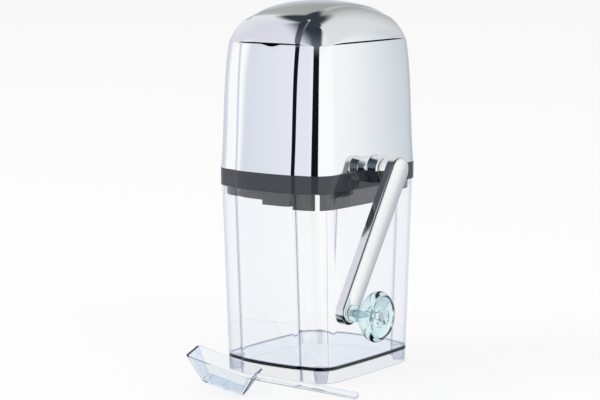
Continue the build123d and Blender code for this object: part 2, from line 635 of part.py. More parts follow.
def make_knob_washer():
    """Thin washer between the knob and the arm."""
    low = ARM_OUT_X + KNOB_FREE
    high = KNOB_BACK_X - KNOB_FREE
    inner = KNOB_PIN_R + KNOB_FREE
    washer = turned_x((low, inner), (low, KNOB_WASHER_R), (high, KNOB_WASHER_R), (high, inner))
    return KNOB_PLACE * washer


def make_thrust_washer():
    """Nylon washer between the boss and the crank's hub."""
    inner = SPIGOT_R + KNOB_FREE
    washer = turned_x((WASHER[0], inner), (WASHER[0], WASHER_R), (WASHER[1], WASHER_R),
                      (WASHER[1], inner))
    return Pos(0, 0, SHAFT_Z) * washer


# ------------------------------------------------------------------ scoop
def bowl_section(height, inset):
    """Plan of the scoop's bowl at a height above its bottom; x runs towards the handle."""
    share = height / SCOOP_DEPTH
    front = -SCOOP_LENGTH + SCOOP_BACK_RUN + (1 - share) * SCOOP_FRONT_RUN
    back = share * SCOOP_BACK_RUN
    width = SCOOP_WIDTH - 2 * (1 - share) * SCOOP_SIDE_RUN
    plan = RectangleRounded(back - front - 2 * inset, width - 2 * inset, SCOOP_CORNER_R - inset / 2)
    return Pos((front + back) / 2, 0, height) * plan.faces()[0]


def make_scoop():
    """Clear scoop: open bowl with four sloping walls and a round handle with a ball end."""
    bowl = loft([bowl_section(0.0, 0.0), bowl_section(SCOOP_DEPTH, 0.0)], ruled=True)
    inside = loft([bowl_section(SCOOP_WALL, SCOOP_WALL), bowl_section(SCOOP_DEPTH, SCOOP_WALL)],
                  ruled=True)
    rise = math.radians(SCOOP_HANDLE_UP_DEG)
    root = (SCOOP_BACK_RUN - SCOOP_WALL, 0, SCOOP_HANDLE_Z)
    tip = (root[0] + SCOOP_HANDLE * math.cos(rise), 0, root[2] + SCOOP_HANDLE * math.sin(rise))
    run = Plane(root, x_dir=(0, 1, 0), z_dir=(math.cos(rise), 0, math.sin(rise)))
    rod = extrude(run * Circle(SCOOP_HANDLE_R), SCOOP_HANDLE)
    scoop = (bowl + rod + Pos(*tip) * Sphere(SCOOP_HANDLE_R)) - inside
    yaw = math.radians(SCOOP_YAW_DEG)
    tilt = math.radians(SCOOP_TILT_DEG)
    along = Vector(math.cos(yaw) * math.cos(tilt), math.sin(yaw) * math.cos(tilt), -math.sin(tilt))
    across = Vector(-math.sin(yaw), math.cos(yaw), 0)
    place = Plane((*SCOOP_AT, 0), x_dir=along, z_dir=along.cross(across))
    scoop = place.location * scoop
    return Pos(0, 0, -scoop.bounding_box().min.Z) * scoop


# ------------------------------------------------------------------ write every node
save(make_bin(), "ice_bin")
save(make_base_frame(), "base_frame")
save(make_housing(), "housing")
save(make_lid(), "lid")
save(make_hinge_pin(), "lid_hinge_pin")
save(make_hopper(), "hopper")
save(make_comb(-1, COARSE_TOOTH), "coarse_comb")
save(make_comb(1, FINE_TOOTH), "fine_comb")
save(make_comb_screws(), "comb_screws")
save(make_frame_screws(), "frame_screws")
save(make_bush(CRANK_BUSH, CRANK_BUSH_R, CRANK_JOURNAL_R), "crank_bush")
save(make_bush(END_BUSH, END_BUSH_R, END_JOURNAL_R), "end_bush")
save(make_drive_shaft(), "drive_shaft")
for number in range(BLADE_COUNT):
    save(make_blade(number), f"rotor_blade_{number + 1}")
for number in range(BLADE_COUNT + 1):
    save(make_spacer(number), f"rotor_spacer_{number + 1}")
save(make_end_clip(), "shaft_end_clip")
save(make_thrust_washer(), "thrust_washer")
save(make_crank_arm(), "crank_arm")
save(make_grub_screw(), "crank_grub_screw")
save(make_knob_pin(), "knob_pin")
save(make_knob_washer(), "knob_washer")
save(make_knob(), "knob")
save(make_scoop(), "scoop")
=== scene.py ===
# %% [markdown]
# # A hand cranked ice crusher, dressed for its portrait
#
# The construction of this object already exists: 32 solid pieces at their real size, each
# on the body that it moves with. This lesson gives them their looks. It goes in the order
# that a studio would: the frame that fixes every place, the camera, the light, the
# finishes, and then the pieces that earn a finer mesh than the construction holds.
#
# Everything is in metres and in the object's own frame: +Z is up, the front is -Y, the
# crank is on +X, and the object stands on z = 0.

# %% Load the fixed frame
import bmesh
import bpy
import math
from mathutils import Matrix, Vector, geometry


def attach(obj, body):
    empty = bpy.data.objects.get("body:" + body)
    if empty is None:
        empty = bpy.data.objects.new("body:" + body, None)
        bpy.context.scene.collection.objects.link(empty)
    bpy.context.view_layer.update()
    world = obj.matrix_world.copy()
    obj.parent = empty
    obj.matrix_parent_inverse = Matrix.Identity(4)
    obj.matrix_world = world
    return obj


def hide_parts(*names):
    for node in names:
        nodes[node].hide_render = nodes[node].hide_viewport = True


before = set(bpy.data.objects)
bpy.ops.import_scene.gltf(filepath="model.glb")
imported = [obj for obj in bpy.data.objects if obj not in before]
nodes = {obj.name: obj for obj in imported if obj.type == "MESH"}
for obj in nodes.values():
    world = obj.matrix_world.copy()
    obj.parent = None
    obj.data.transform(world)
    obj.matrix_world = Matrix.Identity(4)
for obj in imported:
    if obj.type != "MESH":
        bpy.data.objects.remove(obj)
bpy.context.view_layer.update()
MM = 0.001

# %% [markdown]
# ## The camera
#
# A long lens from well back keeps the upright edges nearly parallel, which is how a
# catalogue shows a kitchen tool. The camera stands at azimuth 36.7 degrees, so that the
# narrow front and the cranked side both show, and 8.2 degrees above the object. It could
# be placed by hand, but an aim point with an angle and a distance says what is meant.

# %% Camera at the catalogue angle
CAMERA_AZIMUTH = math.radians(36.7)
CAMERA_HEIGHT = math.radians(8.2)
CAMERA_DISTANCE = 1.438
CAMERA_AIM = Vector((-0.0103, -0.0077, 0.1171))
CAMERA_LENS = 123.1

towards_camera = Vector((math.sin(CAMERA_AZIMUTH) * math.cos(CAMERA_HEIGHT),
                         -math.cos(CAMERA_AZIMUTH) * math.cos(CAMERA_HEIGHT),
                         math.sin(CAMERA_HEIGHT)))
camera = bpy.data.objects.new("camera", bpy.data.cameras.new("camera"))
bpy.context.scene.collection.objects.link(camera)
camera.data.sensor_width = 36.0
camera.data.lens = CAMERA_LENS
camera.data.clip_end = 100.0
camera.location = CAMERA_AIM + towards_camera * CAMERA_DISTANCE
camera.rotation_mode = "QUATERNION"
camera.rotation_quaternion = (-towards_camera).to_track_quat("-Z", "Y")
bpy.context.scene.camera = camera
bpy.context.scene.view_settings.view_transform = "Standard"
print("camera at", [round(v, 3) for v in camera.location])

# %% [markdown]
# ## Small helpers for shader trees
#
# Every finish below is a node tree. Three helpers keep them readable: one adds a node with
# its settings, one joins sockets, and one fills a colour ramp from (position, colour)
# stops.

# %% Shader tree helpers
def add_node(tree, kind, **settings):
    """A new node; settings that name an input set it, the rest are properties."""
    node = tree.nodes.new(kind)
    for name, value in settings.items():
        label = name.replace("_", " ")
        if hasattr(node, name):
            setattr(node, name, value)
        else:
            node.inputs[label].default_value = value
    return node


def join(tree, *pairs):
    """Link output to input for each (output, input) pair."""
    for output, socket in pairs:
        tree.links.new(output, socket)


def maths(tree, operation, first, second=None, third=None, clamp=False):
    """A Math node on sockets or numbers; gives its output."""
    node = add_node(tree, "ShaderNodeMath", operation=operation, use_clamp=clamp)
    for place, value in enumerate((first, second, third)):
        if isinstance(value, (int, float)):
            node.inputs[place].default_value = value
        elif value is not None:
            tree.links.new(value, node.inputs[place])
    return node.outputs[0]


def ramp(tree, value, stops, interpolation="LINEAR"):
    """A Color Ramp with the given (position, colour) stops; gives its colour output."""
    node = add_node(tree, "ShaderNodeValToRGB")
    node.color_ramp.interpolation = interpolation
    elements = node.color_ramp.elements
    while len(elements) < len(stops):
        elements.new(0.5)
    for element, (position, colour) in zip(elements, stops):
        element.position = position
        element.color = (*colour, 1.0) if len(colour) == 3 else colour
    tree.links.new(value, node.inputs[0])
    return node.outputs[0]


def blend_colours(tree, share, first, second):
    """A Mix node on colours; each of the three may be a socket or a value."""
    node = add_node(tree, "ShaderNodeMix", data_type="RGBA")
    for place, value in ((0, share), (6, first), (7, second)):
        if isinstance(value, (int, float)):
            node.inputs[place].default_value = value
        elif isinstance(value, tuple):
            node.inputs[place].default_value = (*value, 1.0)
        else:
            tree.links.new(value, node.inputs[place])
    return node.outputs[2]


# %% [markdown]
# ## The room that the chrome mirrors
#
# Chrome has no colour of its own: it shows the room. A white room alone would make it look
# like paper, so a studio hangs white screens round the object and leaves a dark gap
# between them. The gap is what draws the crisp black lines down every rounded edge.
#
# The room is painted on the world, by direction, and only mirrors see it. A ray that has
# passed through clear plastic counts as glossy too, so those are taken out of the mirrors.
# What the camera and the clear plastic see stays plain white, and what lights the object is
# an even pale grey, so that a colour renders about as it is written.

# %% Directions of the room
ROOM_EVEN_LIGHT = 0.82
GAP_AZIMUTH = math.radians(27.2)
GAP_HALF_WIDTH = 0.31           # sine of half the angle that the dark gap takes
GAP_SOFT_EDGE = 0.012
FUNNEL_WIDENS = 0.16            # the gap opens towards the ceiling by this much
FUNNEL_HEIGHTS = (0.24, 0.62)   # sines of the heights that it opens between
FUNNEL_SOFTENS = 0.8
LOW_DARK_HEIGHTS = (-0.22, -0.42)    # below these the room darkens
CEILING_AZIMUTH = math.radians(-145.0)
CEILING_HEIGHT = math.radians(72.0)


def direction(azimuth, height=0.0):
    """Unit vector towards an azimuth (0 is -Y, 90 degrees is +X) and a height."""
    return Vector((math.sin(azimuth) * math.cos(height), -math.cos(azimuth) * math.cos(height),
                   math.sin(height)))


def turn_share(degrees):
    """An azimuth in degrees as a position on a ramp that runs from -180 to 180."""
    return (degrees + 180.0) / 360.0


world = bpy.data.worlds.new("white room")
bpy.context.scene.world = world
world.use_nodes = True
room = world.node_tree
room.nodes.clear()
looking = add_node(room, "ShaderNodeTexCoord").outputs["Generated"]


def along(vector):
    """How far the direction that is looked in points along a vector."""
    node = add_node(room, "ShaderNodeVectorMath", operation="DOT_PRODUCT")
    node.inputs[1].default_value = vector
    room.links.new(looking, node.inputs[0])
    return node.outputs["Value"]


def smooth_step(value, low, high):
    """0 below low, 1 above high, and a smooth rise between; low may be above high."""
    node = add_node(room, "ShaderNodeMapRange", interpolation_type="SMOOTHSTEP")
    node.inputs["From Min"].default_value = low
    node.inputs["From Max"].default_value = high
    room.links.new(value, node.inputs["Value"])
    return node.outputs["Result"]


height_share = along((0.0, 0.0, 1.0))
azimuth_share = maths(room, "ARCTAN2", along((1.0, 0.0, 0.0)), along((0.0, -1.0, 0.0)))
azimuth_share = maths(room, "MULTIPLY_ADD", azimuth_share, 1.0 / math.tau, 0.5)
print("dark gap round azimuth", round(math.degrees(GAP_AZIMUTH), 1))

# %% Paint the room
SCREEN_LAVENDER = (0.79, 0.81, 0.90)
low_room = ramp(room, azimuth_share, [
    (turn_share(-180), (0.55, 0.57, 0.60)), (turn_share(-130), (0.60, 0.64, 0.71)),
    (turn_share(-75), (0.68, 0.72, 0.79)), (turn_share(-66), (0.97, 0.98, 1.00)),
    (turn_share(-54), (1.00, 1.00, 1.00)), (turn_share(-50), (0.70, 0.74, 0.82)),
    (turn_share(-23), (0.80, 0.82, 0.90)), (turn_share(-10), SCREEN_LAVENDER),
    (turn_share(44), (1.00, 1.00, 1.00)), (turn_share(131), (1.00, 1.00, 1.00)),
    (turn_share(141), (0.90, 0.92, 0.94)), (turn_share(152), (0.60, 0.65, 0.69)),
    (turn_share(165), (0.48, 0.51, 0.54)), (turn_share(180), (0.55, 0.57, 0.60))])
high_room = ramp(room, azimuth_share, [
    (turn_share(-180), (0.60, 0.61, 0.62)), (turn_share(-150), (0.34, 0.35, 0.35)),
    (turn_share(-132), (0.42, 0.43, 0.42)), (turn_share(-115), (0.80, 0.81, 0.84)),
    (turn_share(-70), (0.70, 0.70, 0.78)), (turn_share(-20), (0.74, 0.74, 0.82)),
    (turn_share(60), (0.88, 0.89, 0.92)), (turn_share(130), (0.74, 0.77, 0.79)),
    (turn_share(165), (0.70, 0.72, 0.74)), (turn_share(180), (0.60, 0.61, 0.62))])
screens = blend_colours(room, smooth_step(height_share, 0.12, 0.42), low_room, high_room)

across_gap = maths(room, "ABSOLUTE", along(direction(GAP_AZIMUTH + math.pi / 2)))
funnel = maths(room, "MULTIPLY", smooth_step(height_share, *FUNNEL_HEIGHTS), FUNNEL_WIDENS)
from_edge = maths(room, "SUBTRACT", maths(room, "ADD", funnel, GAP_HALF_WIDTH), across_gap)
softness = maths(room, "MULTIPLY_ADD", funnel, FUNNEL_SOFTENS, GAP_SOFT_EDGE)
from_edge = maths(room, "DIVIDE", from_edge, softness)
in_gap = maths(room, "MULTIPLY", smooth_step(from_edge, -1.0, 1.0),
               smooth_step(along(direction(GAP_AZIMUTH)), -0.05, 0.05))
gap_colour = ramp(room, height_share, [
    (0.0, (0.004, 0.008, 0.012)), (0.20, (0.004, 0.008, 0.012)), (0.29, (0.11, 0.13, 0.15)),
    (0.62, (0.11, 0.13, 0.15)), (0.92, (0.03, 0.04, 0.05))])
mirrored = blend_colours(room, in_gap, screens, gap_colour)
in_ceiling = smooth_step(along(direction(CEILING_AZIMUTH, CEILING_HEIGHT)), 0.87, 0.935)
mirrored = blend_colours(room, in_ceiling, mirrored, (0.035, 0.045, 0.055))
mirrored = blend_colours(room, smooth_step(height_share, *LOW_DARK_HEIGHTS), mirrored,
                         (0.02, 0.025, 0.03))

rays = add_node(room, "ShaderNodeLightPath")
even = (ROOM_EVEN_LIGHT,) * 3
seen = maths(room, "MAXIMUM", rays.outputs["Is Camera Ray"], rays.outputs["Is Transmission Ray"])
room_colour = blend_colours(room, seen, even, (1.0, 1.0, 1.0))
only_glossy = maths(room, "SUBTRACT", rays.outputs["Is Glossy Ray"], rays.outputs["Is Transmission Ray"],
                    clamp=True)
room_colour = blend_colours(room, only_glossy, room_colour, mirrored)
backdrop = add_node(room, "ShaderNodeBackground", Strength=1.0)
join(room, (room_colour, backdrop.inputs["Color"]),
     (backdrop.outputs[0], add_node(room, "ShaderNodeOutputWorld").inputs["Surface"]))
print("room painted with", len(room.nodes), "nodes")

# %% [markdown]
# ## Soft lamps and a pale floor
#
# Two large soft lamps give the shadows a direction without hot spots. The floor is a wide
# disc of matt white. The camera sees it partly as plain white, which keeps the page clean
# while the soft shadow under the object stays.

# %% Lamps and floor
def soft_lamp(name, place, size, watts):
    """A square area lamp at a place, turned towards the middle of the object."""
    light = bpy.data.lights.new(name, "AREA")
    light.shape = "SQUARE"
    light.size = size
    light.energy = watts
    lamp = bpy.data.objects.new(name, light)
    bpy.context.scene.collection.objects.link(lamp)
    lamp.location = place
    lamp.rotation_mode = "QUATERNION"
    lamp.rotation_quaternion = (CAMERA_AIM - Vector(place)).to_track_quat("-Z", "Y")
    lamp.visible_glossy = False
    lamp.visible_transmission = False
    return lamp


soft_lamp("key lamp", (-1.6, -1.8, 2.2), 1.6, 26.0)
soft_lamp("fill lamp", (2.2, -0.6, 1.4), 1.8, 12.0)

FLOOR_RADIUS = 20.0
floor_mesh = bmesh.new()
bmesh.ops.create_circle(floor_mesh, cap_ends=True, segments=64, radius=FLOOR_RADIUS)
floor_data = bpy.data.meshes.new("floor")
floor_mesh.to_mesh(floor_data)
floor_mesh.free()
floor = bpy.data.objects.new("floor", floor_data)
bpy.context.scene.collection.objects.link(floor)
floor.visible_glossy = False

floor_paint = bpy.data.materials.new("pale floor")
floor_paint.use_nodes = True
tree = floor_paint.node_tree
tree.nodes.clear()
matt = add_node(tree, "ShaderNodeBsdfDiffuse", Color=(0.93, 0.93, 0.93, 1.0))
glow = add_node(tree, "ShaderNodeEmission", Color=(1.0, 1.0, 1.0, 1.0), Strength=1.0)
rays = add_node(tree, "ShaderNodeLightPath")
seen = maths(tree, "MAXIMUM", rays.outputs["Is Camera Ray"], rays.outputs["Is Transmission Ray"])
seen = maths(tree, "MAXIMUM", seen, rays.outputs["Is Glossy Ray"])
mixed = add_node(tree, "ShaderNodeMixShader")
join(tree, (maths(tree, "MULTIPLY", seen, 0.72), mixed.inputs[0]), (matt.outputs[0], mixed.inputs[1]),
     (glow.outputs[0], mixed.inputs[2]),
     (mixed.outputs[0], add_node(tree, "ShaderNodeOutputMaterial").inputs["Surface"]))
floor_data.materials.append(floor_paint)
print("floor disc of radius", FLOOR_RADIUS, "m")

# %% [markdown]
# ## Effects that several finishes share
#
# Real surfaces are never quite even. Two node groups hold the unevenness, so that each
# finish can ask for it with its own values: soft variation is the slow change that
# handling and moulding leave, and fine grain is the close texture of polishing or of
# satin plating. A group puts out only values; the shader stays in the material.

# %% Shared effect groups
def new_group(name, inputs, outputs):
    """A shader node group with float sockets; gives the group, its input and its output."""
    group = bpy.data.node_groups.new(name, "ShaderNodeTree")
    for label, value in inputs:
        socket = group.interface.new_socket(name=label, in_out="INPUT", socket_type="NodeSocketFloat")
        socket.default_value = value
    for label in outputs:
        group.interface.new_socket(name=label, in_out="OUTPUT", socket_type="NodeSocketFloat")
    return group, group.nodes.new("NodeGroupInput"), group.nodes.new("NodeGroupOutput")


soft_variation, given, result = new_group(
    "soft variation", [("Scale", 12.0), ("Low", 0.0), ("High", 1.0)], ["Value"])
place = add_node(soft_variation, "ShaderNodeTexCoord")
cloud = add_node(soft_variation, "ShaderNodeTexNoise", Detail=2.0, Roughness=0.5)
spread = add_node(soft_variation, "ShaderNodeMapRange")
spread.inputs["From Min"].default_value = 0.3
spread.inputs["From Max"].default_value = 0.7
join(soft_variation, (place.outputs["Object"], cloud.inputs["Vector"]),
     (given.outputs["Scale"], cloud.inputs["Scale"]), (cloud.outputs["Fac"], spread.inputs["Value"]),
     (given.outputs["Low"], spread.inputs["To Min"]), (given.outputs["High"], spread.inputs["To Max"]),
     (spread.outputs["Result"], result.inputs["Value"]))

fine_grain, given, result = new_group(
    "fine grain", [("Scale", 900.0), ("Stretch X", 1.0), ("Stretch Y", 1.0), ("Stretch Z", 1.0)],
    ["Value"])
place = add_node(fine_grain, "ShaderNodeTexCoord")
stretch = add_node(fine_grain, "ShaderNodeCombineXYZ")
scaled = add_node(fine_grain, "ShaderNodeVectorMath", operation="MULTIPLY")
grain = add_node(fine_grain, "ShaderNodeTexNoise", Detail=3.0, Roughness=0.6)
join(fine_grain, (given.outputs["Stretch X"], stretch.inputs["X"]),
     (given.outputs["Stretch Y"], stretch.inputs["Y"]), (given.outputs["Stretch Z"], stretch.inputs["Z"]),
     (place.outputs["Object"], scaled.inputs[0]), (stretch.outputs[0], scaled.inputs[1]),
     (scaled.outputs[0], grain.inputs["Vector"]), (given.outputs["Scale"], grain.inputs["Scale"]),
     (grain.outputs["Fac"], result.inputs["Value"]))
print("groups:", [group.name for group in (soft_variation, fine_grain)])

# %% Start of every finish
def new_finish(name):
    """A material with an empty tree, its Principled shader and its output."""
    material = bpy.data.materials.new(name)
    material.use_nodes = True
    tree = material.node_tree
    tree.nodes.clear()
    shader = add_node(tree, "ShaderNodeBsdfPrincipled")
    output = add_node(tree, "ShaderNodeOutputMaterial")
    tree.links.new(shader.outputs[0], output.inputs["Surface"])
    return material, tree, shader, output


def place_group(tree, group, **values):
    """Put a shared effect in a tree with its own values; gives its output."""
    node = add_node(tree, "ShaderNodeGroup", node_tree=group)
    for name, value in values.items():
        node.inputs[name.replace("_", " ")].default_value = value
    return node.outputs["Value"]


def metal(name, colour, darker, rough, variation_scale, grain, grain_depth):
    """A metal finish: colour and roughness drift slowly, the grain is a fine bump."""
    material, tree, shader, _ = new_finish(name)
    shader.inputs["Metallic"].default_value = 1.0
    drift = place_group(tree, soft_variation, Scale=variation_scale)
    close = place_group(tree, fine_grain, **grain)
    join(tree, (blend_colours(tree, drift, darker, colour), shader.inputs["Base Color"]))
    uneven = maths(tree, "MULTIPLY_ADD", close, rough[1] - rough[0], rough[0])
    join(tree, (maths(tree, "MULTIPLY_ADD", drift, (rough[1] - rough[0]) / 2, uneven),
                shader.inputs["Roughness"]))
    bump = add_node(tree, "ShaderNodeBump", Strength=1.0, Distance=grain_depth)
    join(tree, (close, bump.inputs["Height"]), (bump.outputs[0], shader.inputs["Normal"]))
    return material


# %% [markdown]
# ## Metal finishes
#
# The housing and the lid are bright plated steel: nearly white, very smooth, with only a
# trace of polishing haze. The crank has the same plating over a casting that is polished
# less, so that its reflections are a little softer. The blades and combs are ground
# stainless steel with a visible direction, and the shaft, pins and screws are plain turned
# steel.

# %% Metal materials
chrome = metal("bright chrome", (0.975, 0.978, 0.985), (0.955, 0.958, 0.968), (0.035, 0.055), 9.0,
               dict(Scale=260.0), 0.0000004)
satin = metal("satin chrome", (0.95, 0.95, 0.945), (0.91, 0.91, 0.905), (0.07, 0.11), 25.0,
              dict(Scale=900.0), 0.000001)
ground_steel = metal("ground steel", (0.70, 0.71, 0.73), (0.60, 0.61, 0.63), (0.24, 0.38), 40.0,
                     dict(Scale=700.0, Stretch_X=1.0, Stretch_Y=0.08, Stretch_Z=1.0), 0.000004)
turned_steel = metal("turned steel", (0.76, 0.77, 0.79), (0.66, 0.67, 0.69), (0.18, 0.28), 60.0,
                     dict(Scale=1400.0, Stretch_X=1.0, Stretch_Y=0.1, Stretch_Z=0.1), 0.000002)


def paint_seam_and_inside_shade(material, rim_shade_colour, inner_dull_and_shade_colour):
    """Paint a shell's inside: its rim near-black as painted shade of the seam gap, and the rest dull
    grey, partly unplated metal and partly painted shade of the hollow.
    """
    tree = material.node_tree
    shader = next(node for node in tree.nodes if node.type == "BSDF_PRINCIPLED")
    plated = shader.inputs["Base Color"].links[0].from_socket
    mask = add_node(tree, "ShaderNodeAttribute", attribute_name="inside").outputs["Fac"]
    # painted shade: the rim goes near-black for the shade in the seam gap, and the inner wall goes dull
    # grey
    inner = blend_colours(tree, maths(tree, "GREATER_THAN", mask, 0.97), rim_shade_colour, inner_dull_and_shade_colour)
    join(tree, (blend_colours(tree, maths(tree, "GREATER_THAN", mask, 0.03), plated, inner),
                shader.inputs["Base Color"]))


# painted shade: a near-black rim stands for the shade in the seam gap; the inside is dull grey, partly
# unplated metal and partly painted shade of the hollow
paint_seam_and_inside_shade(chrome, (0.012, 0.013, 0.015), (0.34, 0.35, 0.36))
print("metals:", [material.name for material in (chrome, satin, ground_steel, turned_steel)])

# %% [markdown]
# ## Moulded plastic finishes
#
# The frame is glossy black-grey plastic that mirrors the room weakly. The hopper is a
# duller grey, and the bushes and washers are milky nylon. All three get a faint moulding
# texture, because a perfectly even plastic reads as a drawing.

# %% Opaque plastic materials
def moulded(name, colour, deeper, rough, texture_scale, texture_depth):
    """An opaque moulded plastic with slow colour drift and a faint skin texture."""
    material, tree, shader, _ = new_finish(name)
    drift = place_group(tree, soft_variation, Scale=18.0)
    skin = place_group(tree, fine_grain, Scale=texture_scale)
    join(tree, (blend_colours(tree, drift, deeper, colour), shader.inputs["Base Color"]),
         (maths(tree, "MULTIPLY_ADD", skin, rough[1] - rough[0], rough[0]), shader.inputs["Roughness"]))
    bump = add_node(tree, "ShaderNodeBump", Strength=1.0, Distance=texture_depth)
    join(tree, (skin, bump.inputs["Height"]), (bump.outputs[0], shader.inputs["Normal"]))
    return material


dark_plastic = moulded("dark frame plastic", (0.040, 0.047, 0.056), (0.034, 0.040, 0.048),
                       (0.06, 0.12), 500.0, 0.000001)
grey_plastic = moulded("grey hopper plastic", (0.20, 0.21, 0.23), (0.17, 0.18, 0.20), (0.35, 0.5),
                       800.0, 0.000006)
nylon = moulded("milky nylon", (0.84, 0.84, 0.80), (0.78, 0.78, 0.73), (0.35, 0.5), 600.0, 0.000004)
print("plastics:", [material.name for material in (dark_plastic, grey_plastic, nylon)])

# %% [markdown]
# ## Clear plastic
#
# Clear styrene is colourless through a thin wall and blue along it: the light that reaches
# an edge has travelled far inside the plastic. A true volume would be slow, so the tint is
# set by the angle instead. Seen straight on the wall is nearly white, and where it turns
# away it deepens to blue. A shadow ray passes as through thin air, lightly tinted, so that
# a clear box doesn't throw a black shadow. Where a piece carries a number called
# tint, light gathers along an edge, and the colour goes deeper still.

# %% Clear plastic materials
EDGE_ONLY = 2.2                 # power that keeps the tint close to an edge
TURN_POWER = 1.4                # power that keeps a wall pale until it turns well away


def clear_plastic(name, face_colour, edge_colour, deep_colour, edge_blend, shadow_colour):
    """Transparent plastic, pale where it faces the eye and coloured where it turns away."""
    material, tree, shader, output = new_finish(name)
    shader.inputs["Transmission Weight"].default_value = 1.0
    shader.inputs["IOR"].default_value = 1.49
    shader.inputs["Roughness"].default_value = 0.0
    facing = add_node(tree, "ShaderNodeLayerWeight", Blend=edge_blend).outputs["Facing"]
    drift = place_group(tree, soft_variation, Scale=30.0, Low=0.9, High=1.1)
    turned_away = maths(tree, "POWER", maths(tree, "MULTIPLY", facing, drift, clamp=True), TURN_POWER)
    body_colour = blend_colours(tree, turned_away, face_colour, edge_colour)
    along_edge = add_node(tree, "ShaderNodeAttribute", attribute_name="tint").outputs["Fac"]
    along_edge = maths(tree, "POWER", along_edge, EDGE_ONLY)
    join(tree, (blend_colours(tree, along_edge, body_colour, deep_colour), shader.inputs["Base Color"]))
    air = add_node(tree, "ShaderNodeBsdfTransparent", Color=(*shadow_colour, 1.0))
    mixed = add_node(tree, "ShaderNodeMixShader")
    shadow = add_node(tree, "ShaderNodeLightPath").outputs["Is Shadow Ray"]
    join(tree, (shadow, mixed.inputs[0]), (shader.outputs[0], mixed.inputs[1]),
         (air.outputs[0], mixed.inputs[2]), (mixed.outputs[0], output.inputs["Surface"]))
    return material


clear_bin = clear_plastic("clear bin styrene", (0.995, 0.996, 0.994), (0.25, 0.46, 0.80),
                          (0.03, 0.09, 0.30), 0.22, (0.96, 0.97, 0.98))
clear_scoop = clear_plastic("clear scoop styrene", (0.97, 0.988, 0.996), (0.12, 0.38, 0.72),
                            (0.03, 0.09, 0.30), 0.35, (0.92, 0.95, 0.97))
clear_knob = clear_plastic("clear knob acrylic", (0.80, 0.93, 0.955), (0.10, 0.46, 0.60),
                           (0.02, 0.20, 0.30), 0.42, (0.82, 0.92, 0.95))
print("clear:", [material.name for material in (clear_bin, clear_scoop, clear_knob)])

# %% [markdown]
# ## Pieces that need a finer mesh
#
# The construction's housing and lid have the right size, but their faces come as triangles
# of uneven length, and a mirror finish shows every one of them as a nick in the dark
# reflection. So the two chrome shells are modelled again as even quads that a subdivision
# surface can smooth. The clear bin is modelled again too, because its edges need a tint of
# their own.
#
# All three share one plan: a rounded rectangle with bowed sides, whose front and back carry
# a raised panel. It could be typed in as a list of points, but arcs say more. A pen vertex
# is spun round the centre of each arc in turn, and what it leaves behind is a quarter of
# the plan; two mirrors make it whole. Sizes in these cells are in millimetres.

# %% A pen for outlines
BOW_SIDE = 1.1                  # how far the side faces bow out
BOW_FRONT = 3.1                 # and the front and the back
PLAN_CORNER = 14.7
PANEL_FLAT = 21.1               # the raised panel is flat out to here
PANEL_CREASE = 25.3             # and its shoulder meets the face beside it here
PANEL_PROUD = 1.3
FRONT_STEPS = (6, 4, 4)         # across the flat, the shoulder, and on to the corner
CORNER_STEPS = 8
SIDE_STEPS = 6


def draw_to(mesh, pen, point):
    """Draw a straight line from the pen vertex to a point; gives the new end."""
    tip = bmesh.ops.extrude_vert_indiv(mesh, verts=[pen])["verts"][0]
    tip.co = point
    return tip


def swing(mesh, pen, centre, angle, steps, axis=(0, 0, 1)):
    """Draw an arc by spinning the pen vertex about a centre; gives the new end."""
    drawn = bmesh.ops.spin(mesh, geom=[pen], cent=centre, axis=axis, angle=angle, steps=steps,
                           use_merge=False, use_duplicate=False)
    return next(item for item in drawn["geom_last"] if isinstance(item, bmesh.types.BMVert))


def bowed_sides(half_x, half_y):
    """Centre and radius of the arc of the front, and of the arc of the side."""
    chord_x = half_x - BOW_SIDE - PLAN_CORNER
    chord_y = half_y - BOW_FRONT - PLAN_CORNER
    front_r = (chord_x ** 2 + BOW_FRONT ** 2) / (2 * BOW_FRONT)
    side_r = (chord_y ** 2 + BOW_SIDE ** 2) / (2 * BOW_SIDE)
    return Vector((0.0, front_r - half_y)), front_r, Vector((half_x - side_r, 0.0)), side_r


def how_deep(x, y, half_x, half_y):
    """How far a point lies inside the nearest bowed side of the plan."""
    front_centre, front_r, side_centre, side_r = bowed_sides(half_x, half_y)
    return min(front_r - (Vector((x, -abs(y))) - front_centre).length,
               side_r - (Vector((abs(x), y)) - side_centre).length)


def quarter_plan(mesh, z, half_x, half_y, corner_r=PLAN_CORNER, inset=0.0):
    """Draw a quarter of the plan, from the middle of the front to the middle of the side."""
    front_centre, front_r, side_centre, side_r = bowed_sides(half_x, half_y)
    crossings = geometry.intersect_sphere_sphere_2d(front_centre, front_r - corner_r,
                                                    side_centre, side_r - corner_r)
    corner = max(crossings, key=lambda point: point.x - point.y)
    front_turn = math.atan2(corner.x, front_centre.y - corner.y)
    side_turn = math.atan2(-corner.y, corner.x - side_centre.x)
    before = set(mesh.edges)
    pen = mesh.verts.new((0.0, inset - half_y, z))
    stops = [math.asin(x / (front_r - inset)) for x in (PANEL_FLAT, PANEL_CREASE)] + [front_turn]
    turned = 0.0
    for stop, steps in zip(stops, FRONT_STEPS):
        pen = swing(mesh, pen, (*front_centre, z), stop - turned, steps)
        turned = stop
    pen = swing(mesh, pen, (*corner, z), math.pi / 2 - front_turn - side_turn, CORNER_STEPS)
    swing(mesh, pen, (*side_centre, z), side_turn, SIDE_STEPS)
    return [edge for edge in mesh.edges if edge not in before]


def panel_rise(x):
    """How far the panel stands proud at x: flat in the middle, round towards its crease."""
    shoulder = PANEL_CREASE - PANEL_FLAT
    shoulder_r = (shoulder ** 2 + PANEL_PROUD ** 2) / (2 * PANEL_PROUD)
    run = max(0.0, min(abs(x), PANEL_CREASE) - PANEL_FLAT)
    return PANEL_PROUD - shoulder_r + math.sqrt(shoulder_r ** 2 - run ** 2)


print("panel rise at 0, 23, 25.3:", [round(panel_rise(x), 2) for x in (0, 23, 25.3)])

